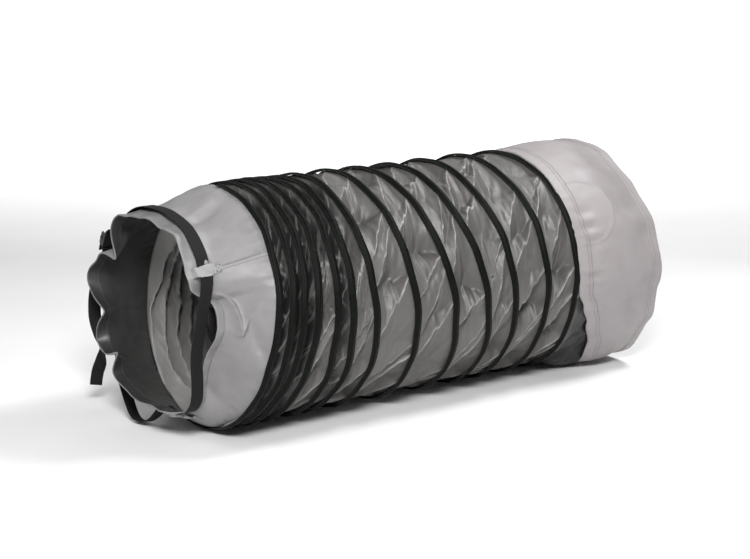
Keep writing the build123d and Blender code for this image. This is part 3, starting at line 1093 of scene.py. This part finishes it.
def ribbon(name, points, steps, width, gauge, material, body):
    # points are x, y, z and the twist of the width away from the duct's axis, in degrees
    line = [catmull(points, index / (steps - 1)) for index in range(steps)]
    places = [Vector(p[:3]) for p in line]
    lengths = [0.0]
    for a, b in zip(places, places[1:]):
        lengths.append(lengths[-1] + (b - a).length)
    section = [(-0.5, -0.35), (-0.5, 0.35), (-0.46, 0.5), (-0.25, 0.5), (0, 0.5), (0.25, 0.5), (0.46, 0.5),
               (0.5, 0.35), (0.5, -0.35), (0.46, -0.5), (0.25, -0.5), (0, -0.5), (-0.25, -0.5), (-0.46, -0.5)]
    around = roundLengths(section, width, gauge)

    def pointAt(row, column):
        ahead = (places[min(row + 1, steps - 1)] - places[max(row - 1, 0)]).normalized()
        flat = Vector((1, 0, 0))
        flat = (flat - ahead * flat.dot(ahead)).normalized()
        face = ahead.cross(flat).normalized()
        twist = math.radians(line[row][3])
        wide = flat * math.cos(twist) + face * math.sin(twist)
        out = face * math.cos(twist) - flat * math.sin(twist)
        across, high = section[column]
        return places[row] + wide * across * width + out * high * gauge

    def uvAt(row, column):
        return (lengths[row], around[column])

    piece = addGrid(name, steps, len(section), pointAt, True, uvAt)
    capEnds(piece, steps, len(section))
    paint(piece, material)
    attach(piece, body)
    return piece, lengths[-1]


def makeBelt():
    # from the buckle over the top, coming nearer the mouth
    points = [overCuff(degrees, back) for degrees, back in (
        (305, 0.036), (311, 0.035), (318, 0.034), (325, 0.032), (332, 0.031), (339, 0.029), (346, 0.028),
        (353, 0.027))]
    points += [overCuff(degrees, 0.026) for degrees in (*range(0, 43, 7), 48)]
    points.append(onCuff(54.5, 0.026, 0.0040))
    # from the first loop straight across the open side of the mouth: angle, reach
    for degrees, reach in ((60, 0.186), (66, 0.173), (75, 0.153), (87, 0.138), (100, 0.130), (111, 0.130),
                           (121, 0.139), (131, 0.160), (140, 0.182), (149, 0.190), (157, 0.188)):
        points.append(beltAround(mouthX + 0.026, degrees, reach))
    points += [onCuff(163, 0.024, 0.0036), onCuff(173, 0.030, 0.0036), onCuff(184, 0.034, 0.0036)]
    # slack round the underside
    points += [
        (mouthX + 0.032, axisY + 0.050, floorZ + 0.020, 0),
        (mouthX + 0.028, axisY + 0.084, floorZ + 0.006, 10),
        (mouthX + 0.026, axisY + 0.118, floorZ + 0.016, 16),
        (mouthX + 0.030, axisY + 0.164, floorZ + 0.080, 4)]
    points += [overCuff(degrees, belt["back"]) for degrees in range(236, 293, 6)]
    piece, length = ribbon("belt", points, 560, belt["width"], belt["gauge"], strapBlack, "near_end")
    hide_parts("strap")
    print("belt length %.3f m" % length)


def makeTail():
    low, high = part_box("strap_tail")
    middleX = (low[0] + high[0]) / 2
    outY = high[1]
    # straight through the buckle, then hanging with a twist
    points = [
        (middleX, low[1] + 0.0010, high[2] - 0.0008, 0),
        (middleX, low[1] + 0.0116, high[2] - 0.0207, 0),
        (middleX, low[1] + 0.0219, high[2] - 0.0402, 0),
        (middleX, low[1] + 0.0301, high[2] - 0.0555, 0),
        (middleX - 0.001, low[1] + 0.0365, high[2] - 0.0675, 2),
        (middleX - 0.006, outY + 0.006, high[2] - 0.100, 10),
        (middleX - 0.010, outY + 0.016, high[2] - 0.140, 18),
        (middleX - 0.012, outY + 0.016, high[2] - 0.180, 28),
        (middleX - 0.011, outY + 0.006, high[2] - 0.215, 62),
        (middleX - 0.008, outY - 0.002, high[2] - 0.246, 96),
        (middleX - 0.008, outY + 0.004, high[2] - 0.272, 60),
        (middleX - 0.012, outY + 0.012, high[2] - 0.296, 24),
        (middleX - 0.016, outY + 0.014, high[2] - 0.322, 14)]
    width = belt["width"] - 0.0004
    piece, length = ribbon("beltTail", points, 220, width, belt["gauge"], strapBlack, "belt_tail")
    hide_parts("strap_tail")
    print("belt tail length %.3f m" % length)


makeBelt()
makeTail()
for nodeLabel in ("buckle_frame", "buckle_pin", "buckle_lever", "buckle_spring"):
    paint(frame["nodes"][nodeLabel], buckleSteel)
print("belt threaded")

farCuff = {
    "rows": 70, "columns": 500, "gauge": 0.0010, "radius": 0.2304, "flare": 0.0135, "cloth": 0.2308,
    # how far the edge lies from the line of its seam: angle, metres towards the mouth
    "edge": [
        (0, -0.0140), (20, -0.0225), (45, -0.0324), (70, -0.0425), (90, -0.052), (99, -0.0535), (108, -0.038),
        (119, -0.0175), (137, 0.012), (150, 0.018), (180, 0.0175), (210, 0.012), (240, 0.007), (270, 0.0),
        (320, -0.006), (345, -0.010), (360, -0.0140)],
    # the open mouth: angle, reach from the axis in millimetres
    "rim": [
        (0, 226), (13, 218.5), (25, 206), (37, 203.5), (52, 205), (68, 212), (81, 219.5), (94, 231),
        (105, 235), (113, 232), (121, 241), (133, 237), (146, 244), (160, 246), (180, 240), (200, 242),
        (220, 242), (240, 237), (262, 230), (280, 233), (300, 229), (318, 236), (335, 240), (348, 234)],
    # a faint round mark pressed into the cloth
    "mark": {"degrees": 57, "back": 0.040, "radius": 0.072, "width": 0.0034, "height": 0.0018,
             "reach": 0.235},
    # dents as on the near cuff, the first where the edge bags out low in front
    "dents": [
        (151, 0.020, 24.0, 13, 0.080, 0.0),
        (58, 0.040, -3.6, 3.0, 0.016, 0.0), (62, 0.044, 3.2, 2.6, 0.020, 0.1),
        (66, 0.040, -4.0, 2.8, 0.022, 0.1), (70, 0.046, 2.6, 2.6, 0.020, 0.0),
        (74, 0.042, -3.6, 3.0, 0.018, -0.1), (88, 0.034, 2.6, 1.6, 0.024, 0.0),
        (90.5, 0.036, -2.6, 2.0, 0.024, 0.0), (94, 0.038, 2.2, 1.8, 0.022, 0.1),
        (104, 0.034, -2.4, 3, 0.022, 0.1), (110, 0.034, 2.4, 2.6, 0.026, 0.0),
        (84, 0.110, -6.0, 14, 0.032, 0.4), (112, 0.13, -6.5, 15, 0.030, -0.4),
        (48, 0.13, -4.5, 14, 0.03, 0.5), (104, 0.205, -10.0, 7, 0.030, 0.1), (76, 0.20, -6.0, 6, 0.034, 0.2),
        (66, 0.19, 4.5, 5, 0.034, 0.2), (58, 0.17, -5.0, 6, 0.04, 0.4), (128, 0.19, -6.0, 9, 0.030, 0.0),
        (150, 0.10, -5.0, 12, 0.03, 0.3), (36, 0.11, 3.5, 5, 0.06, 0.2), (24, 0.15, -5.0, 12, 0.05, -0.4),
        (200, 0.10, -4.0, 12, 0.03, 0.2), (235, 0.12, -5.0, 14, 0.04, 0.4), (268, 0.08, -5.0, 13, 0.03, -0.4),
        (300, 0.14, -5.0, 14, 0.04, 0.4), (335, 0.10, -4.0, 12, 0.03, 0.2), (350, 0.16, -5.0, 10, 0.05, 0.3)]}


def farEdgeShift(degrees):
    table = farCuff["edge"]
    for (a, shiftA), (b, shiftB) in zip(table, table[1:]):
        if a <= degrees <= b:
            return mix(shiftA, shiftB, ease((degrees - a) / (b - a)))
    return 0.0


def farEdgeX(angle):
    degrees = math.degrees(angle) % 360
    ripple = 0.0012 * rough(math.cos(angle) * 8, math.sin(angle) * 8, 4.4)
    return farLine(angle % tau) + farEdgeShift(degrees) + ripple


def farPoint(angle, back):
    # angle round from the top, distance back from the body side edge
    degrees = math.degrees(angle) % 360
    start = farEdgeX(angle)
    length = farMouthX - start
    share = clamp(back / length)
    loopX, loopY = math.cos(angle), math.sin(angle)
    swell = ease(share * 1.6)
    reach = farCuff["radius"] + farCuff["flare"] * swell
    rim = tableAt(farCuff["rim"], degrees)[0] / 1000
    reach = mix(reach, rim, ease((share - 0.42) / 0.58))
    # the edge is drawn down onto the wall
    reach -= 0.0022 * hump(back, 0.0, 0.010) - 0.0004
    out = dentsAt(farCuff["dents"], degrees, back, 45)
    freedom = ease(back / 0.05)
    out += 0.0040 * freedom * rough(loopX * 2.4, loopY * 2.4, back * 9 + 3)
    out += 0.0012 * freedom * rough(loopX * 8, loopY * 8, back * 34)
    tucks = abs(math.sin(angle * 37 + 3 * rough(loopX * 2, loopY * 2, 7)))
    out -= 0.0009 * hump(back, 0.012, 0.012) * tucks
    mark = farCuff["mark"]
    aside = mark["reach"] * math.radians(turnGap(degrees, mark["degrees"]))
    away = math.hypot(aside, back - mark["back"])
    out += mark["height"] * hump(away, mark["radius"], mark["width"]) * clamp(0.4 + back * 12)
    low = ease((degrees - 115) / 40) * (1 - ease((degrees - 205) / 40))
    side = reach + out + 0.010 * swell * low * abs(loopY)
    y = axisY - side * loopY
    z = axisZ + (reach + out) * loopX + 0.002 * swell
    # the cloth settles onto the floor
    ground, settle = floorZ + 0.0015, 0.030
    if z < ground + settle:
        z = ground + settle * math.exp((z - ground) / settle - 1) * 0.999
    x = start + back
    if share > 0.75:
        x += (share - 0.75) * 4 * 0.007 * rough(loopX * 3.5, loopY * 3.5, 11.5) - 0.004 * (share - 0.75) * 4
    return Vector((x, y, z))


def farFrame(angle, back):
    return clothFrame(farPoint, angle, back)


def makeFarCuff():
    rows, columns = farCuff["rows"], farCuff["columns"]

    def pointAt(row, column):
        angle = tau * column / columns
        length = farMouthX - farEdgeX(angle)
        return farPoint(angle, length * row / (rows - 1))

    def uvAt(row, column):
        return (farCuff["radius"] * tau * column / columns, 0.2 * row / (rows - 1))

    cuff = addGrid("farCuff", rows, columns, pointAt, True, uvAt)
    thicken(cuff, farCuff["gauge"], -1.0, 1)
    paint(cuff, farOutside, farInside)
    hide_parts("far_cuff")
    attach(cuff, bodyOf(turnCount))


def farBand(name, node, places, atMouth, gauge):
    rows, columns = len(places), farCuff["columns"]

    def pointAt(row, column):
        angle = tau * column / columns
        back, lift = places[row]
        length = farMouthX - farEdgeX(angle)
        place = length - back if atMouth else back
        beyond = max(place - length, 0.0) + min(place, 0.0)
        here, normal, along = farFrame(angle, clamp(place, 0.0, length - 0.0001))
        return here + normal * lift + along * beyond

    def uvAt(row, column):
        return (farCuff["radius"] * tau * column / columns, 0.003 * row)

    piece = addGrid(name, rows, columns, pointAt, True, uvAt)
    thicken(piece, gauge, 1.0)
    paint(piece, farOutside)
    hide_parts(node)
    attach(piece, bodyOf(turnCount))
    return piece


def farStitches(name, back, atMouth, lift, pitch):
    count = int(tau * farCuff["radius"] / pitch)

    def frameAt(index):
        angle = tau * index / count
        length = farMouthX - farEdgeX(angle)
        here, normal, _ = farFrame(angle, length - back if atMouth else back)
        return here + normal * lift, normal

    stitchRow(name, count, frameAt, True, pitch, 0.0009, 0.0005, threadPale, bodyOf(turnCount))


makeFarCuff()
# each band's section: distance from the edge or the mouth, height over the cloth
seamPlaces = [(-0.0002, -0.0030), (-0.0012, -0.0010), (-0.0006, 0.0006), (0.004, 0.0010), (0.012, 0.0010),
              (0.022, 0.0010), (0.0315, 0.0009), (0.0328, 0.0004), (0.0332, -0.0002)]
band = farBand("farSeamBand", "far_seam_band", seamPlaces, False, 0.0004)
hemPlaces = [(0.0245, -0.0002), (0.024, 0.0008), (0.018, 0.0010), (0.010, 0.0010), (0.003, 0.0010),
             (-0.0004, 0.0008), (-0.0012, -0.0006), (-0.0004, -0.0020), (0.003, -0.0024)]
hemBand = farBand("farCuffHem", "far_cuff_hem", hemPlaces, True, 0.0005)
farStitches("farSeamStitchA", 0.0225, False, 0.0015, 0.0040)
farStitches("farSeamStitchB", 0.0300, False, 0.0014, 0.0040)
farStitches("farHemStitch", 0.0200, True, 0.0015, 0.0042)
print("far cuff sewn")

middle = (0, 0, axisZ)
studio = {
    "floor": 26.0, "world": 0.20,
    # place, aim, width and height, power, spread in degrees
    "lamps": {
        "keySoftbox": ((-1.7, -2.2, 2.0), middle, (0.9, 0.7), 104.0, 180),
        "topSoftbox": ((1.3, -0.9, 2.7), middle, (0.9, 0.7), 56.0, 180),
        "farCuffSoftbox": ((0.95, 0.10, 1.55), (0.45, 0, axisZ), (0.6, 0.6), 5.0, 180),
        "mouthSoftbox": ((-2.3, 0.8, 1.9), (mouthX, axisY, axisZ), (0.8, 0.8), 12.0, 180),
        # these two only light the floor behind the duct
        "farFloorSoftbox": ((1.9, 2.6, 3.4), (4.5, 6.1, 0.95), (5.0, 1.4), 400.0, 180),
        "backdropLight": ((5.0, 9.5, 7.0), (5.0, 10.5, 0.0), (14.0, 9.0), 2600.0, 60),
        "backSoftbox": ((0.6, 2.2, 2.4), middle, (2.2, 0.9), 12.0, 180),
    },
}


def makeFloor():
    size, steps = studio["floor"], 30

    def pointAt(row, column):
        across, away = (mix(-size, size, place / (steps - 1)) for place in (column, row))
        return Vector((across, away, floorZ - 0.0006))

    piece = addGrid("studioFloor", steps, steps, pointAt)
    material, tree, shader = newMaterial("paleFloor", (0.86, 0.86, 0.86), 0.75)
    spot = tree.nodes.new("ShaderNodeTexCoord").outputs["Object"]
    dust = noiseNode(tree, spot, 3.0, 4.0, 0.5)
    tree.links.new(ramp(tree, dust, [(0.3, (0.85,) * 3), (0.7, (0.88,) * 3)]), shader.inputs["Base Color"])
    paint(piece, material)


def addLamp(name, place, target, size, power, spread):
    lamp = bpy.data.lights.new(name, "AREA")
    lamp.shape = "RECTANGLE"
    lamp.size, lamp.size_y = size
    lamp.energy = power
    lamp.spread = math.radians(spread)
    holder = bpy.data.objects.new(name, lamp)
    holder.location = place
    holder.rotation_euler = (Vector(target) - Vector(place)).to_track_quat("-Z", "Y").to_euler()
    bpy.context.scene.collection.objects.link(holder)


def makeStudio():
    makeFloor()
    for name, lamp in studio["lamps"].items():
        addLamp(name, *lamp)
    world = bpy.data.worlds.new("studioWorld")
    bpy.context.scene.world = world
    world.use_nodes = True
    world.node_tree.nodes["Background"].inputs["Color"].default_value = (1, 1, 1, 1)
    world.node_tree.nodes["Background"].inputs["Strength"].default_value = studio["world"]
    bpy.context.scene.view_settings.view_transform = "Standard"


# angles in degrees, lens and sensor in millimetres
shot = {"azimuth": -37.09, "elevation": 12.35, "distance": 3.618, "lens": 86.4, "sensor": 36, "aimX": -0.0325}


def makeCamera():
    data = bpy.data.cameras.new("ductCamera")
    data.sensor_width = shot["sensor"]
    data.lens = shot["lens"]
    data.clip_end = 60
    camera = bpy.data.objects.new("ductCamera", data)
    bpy.context.scene.collection.objects.link(camera)
    a, e = math.radians(shot["azimuth"]), math.radians(shot["elevation"])
    back = Vector((math.sin(a) * math.cos(e), -math.cos(a) * math.cos(e), math.sin(e)))
    aim = Vector((shot["aimX"], axisY, axisZ))
    camera.location = aim + back * shot["distance"]
    camera.rotation_mode = "QUATERNION"
    camera.rotation_quaternion = (-back).to_track_quat("-Z", "Y")
    bpy.context.scene.camera = camera


makeStudio()
makeCamera()
print("studio set")
